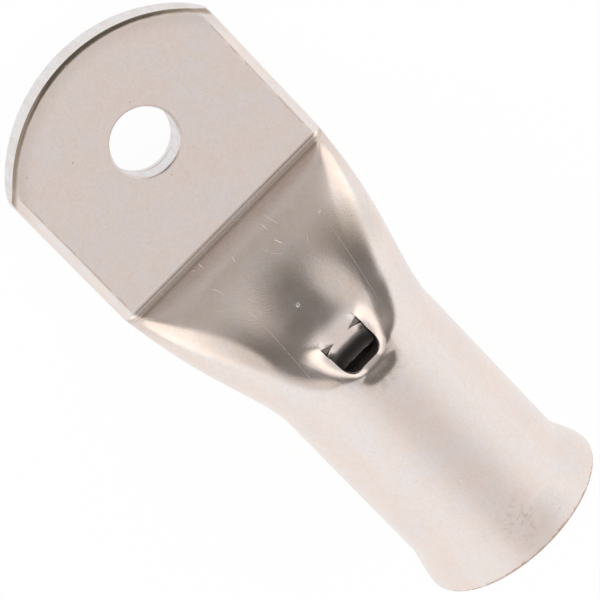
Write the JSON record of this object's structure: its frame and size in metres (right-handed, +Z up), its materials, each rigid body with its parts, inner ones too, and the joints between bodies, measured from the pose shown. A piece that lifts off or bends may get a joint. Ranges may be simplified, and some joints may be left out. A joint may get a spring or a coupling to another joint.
{
  "type": "cable tube lug",
  "caption": "Tin-plated copper tube lug with a flat palm for a stud, a sloping shoulder with an inspection window and cable stop, and a bell-mouth barrel.",
  "frame": {"origin": "centre of the stud hole on the underside of the palm", "axes": "+X along the barrel towards its mouth, +Z up out of the palm's upper face"},
  "size_m": [0.0978, 0.0406, 0.0313],
  "materials": {
    "tin_plate": "satin tin plating over copper, lightly scratched"
  },
  "bodies": {
    "root": {"tube_lug": "tin_plate"}
  },
  "joints": []
}
